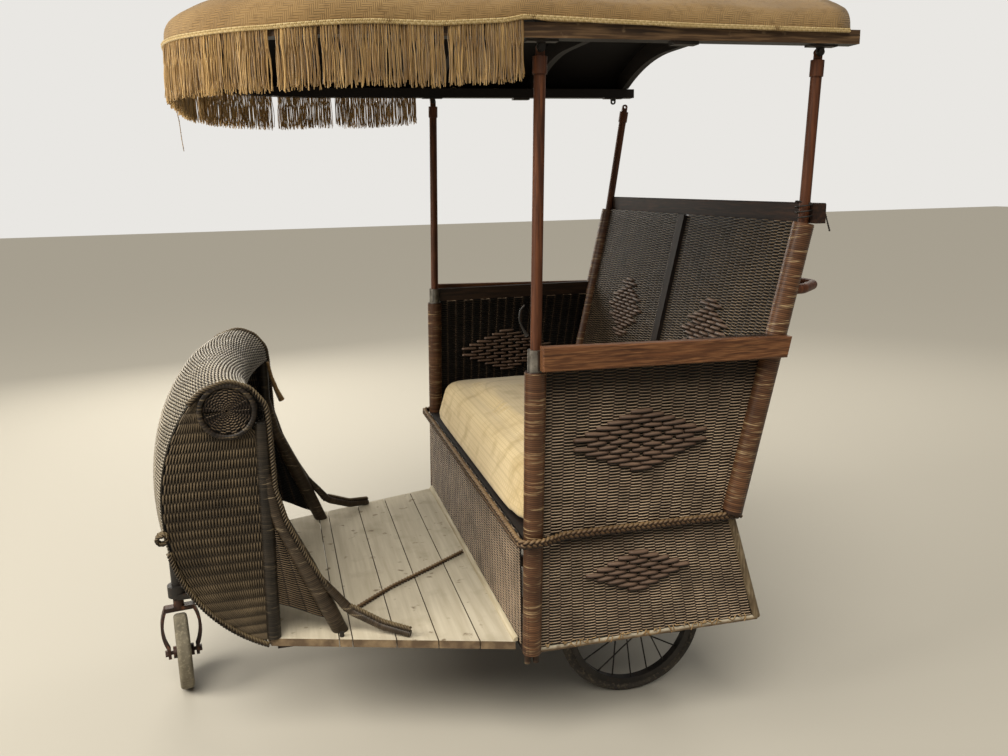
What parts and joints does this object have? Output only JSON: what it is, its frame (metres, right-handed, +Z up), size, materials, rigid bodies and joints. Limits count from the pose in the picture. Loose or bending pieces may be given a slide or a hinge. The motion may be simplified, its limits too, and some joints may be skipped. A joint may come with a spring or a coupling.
{
  "type": "wicker rolling chair",
  "caption": "Wicker rolling chair with a fringed canopy on poles, a scroll-topped woven dash, spoked rear wheels and a swivelling front caster.",
  "frame": {"origin": "middle of the footprint on the floor, under the whole chair", "axes": "+X forward to the dash, +Y to the rider's left, +Z up"},
  "size_m": [1.8147, 1.452, 1.975],
  "materials": {
    "iron_dark": "old black paint over iron",
    "iron_rust": "rusty brown",
    "tyre_dark": "matte, dusty",
    "tyre_grey": "matte, pale grey",
    "ferrule_metal": "dull",
    "frame_wood": "dark stain",
    "pale_wood": "dusty",
    "arm_wood": "red-brown stain, worn edges",
    "pole_wood": "red-brown varnish",
    "wrapped_cane": "worn brown cane",
    "woven_cane": "satin dark brown",
    "dash_cane": "dusty dark brown",
    "plaited_cane": "satin brown",
    "seat_cloth": "woven, matte",
    "canopy_cloth": "woven, matte"
  },
  "bodies": {
    "chair": {"arm_boards": "arm_wood", "arm_rails": "frame_wood", "axle_blocks": "frame_wood", "axle_nuts": "iron_dark", "back_panels": "woven_cane", "back_stile": "frame_wood", "bearers": "frame_wood", "bottom_rods": "pale_wood", "canopy_bolts": "iron_dark", "canopy_bows": "pole_wood", "canopy_cover": "canopy_cloth", "canopy_fringe": "canopy_cloth", "canopy_latches": "iron_dark", "canopy_lugs": "iron_dark", "canopy_rim": "pole_wood", "caster_beam": "iron_dark", "dash_cheeks": "dash_cane", "dash_discs": "dash_cane", "dash_gussets": "dash_cane", "dash_posts": "dash_cane", "dash_roll": "dash_cane", "dash_sheet": "dash_cane", "ferrules": "ferrule_metal", "floor_planks": "pale_wood", "front_panel": "woven_cane", "front_posts": "wrapped_cane", "leaf_springs": "iron_dark", "loose_plait": "plaited_cane", "lower_side_panels": "woven_cane", "poles": "pole_wood", "push_bar": "pole_wood", "rear_axle": "iron_dark", "rear_panel": "woven_cane", "rear_posts": "wrapped_cane", "rear_stakes": "frame_wood", "seat_braid": "plaited_cane", "seat_cushion": "seat_cloth", "seat_deck": "frame_wood", "seat_moulding": "pale_wood", "sills": "frame_wood", "top_rail": "frame_wood", "upper_side_panels": "woven_cane"},
    "caster": {"caster_fork": "iron_rust", "caster_bolt": "iron_rust"},
    "front_wheel": {"caster_tyre": "tyre_grey", "caster_wheel": "iron_rust"},
    "rear_wheel_left": {"rear_tyre_left": "tyre_dark", "rear_rim_left": "iron_dark", "rear_hub_left": "iron_dark", "rear_spokes_left": "iron_dark"},
    "rear_wheel_right": {"rear_tyre_right": "tyre_dark", "rear_rim_right": "iron_dark", "rear_hub_right": "iron_dark", "rear_spokes_right": "iron_dark"}
  },
  "joints": [
    {"name": "caster_swivel", "type": "hinge", "parent": "chair", "child": "caster", "pos_m": [0.84929, 0, 0.268], "axis": [0, 0, 1], "continuous": true},
    {"name": "front_wheel_spin", "type": "hinge", "parent": "caster", "child": "front_wheel", "pos_m": [0.84372, 0.03961, 0.113], "axis": [0.9903, 0.1392, 0], "continuous": true},
    {"name": "rear_wheel_left_spin", "type": "hinge", "parent": "chair", "child": "rear_wheel_left", "pos_m": [-0.44571, 0.448, 0.219], "axis": [0, 1, 0], "continuous": true},
    {"name": "rear_wheel_right_spin", "type": "hinge", "parent": "chair", "child": "rear_wheel_right", "pos_m": [-0.44571, -0.448, 0.219], "axis": [0, 1, 0], "continuous": true}
  ]
}
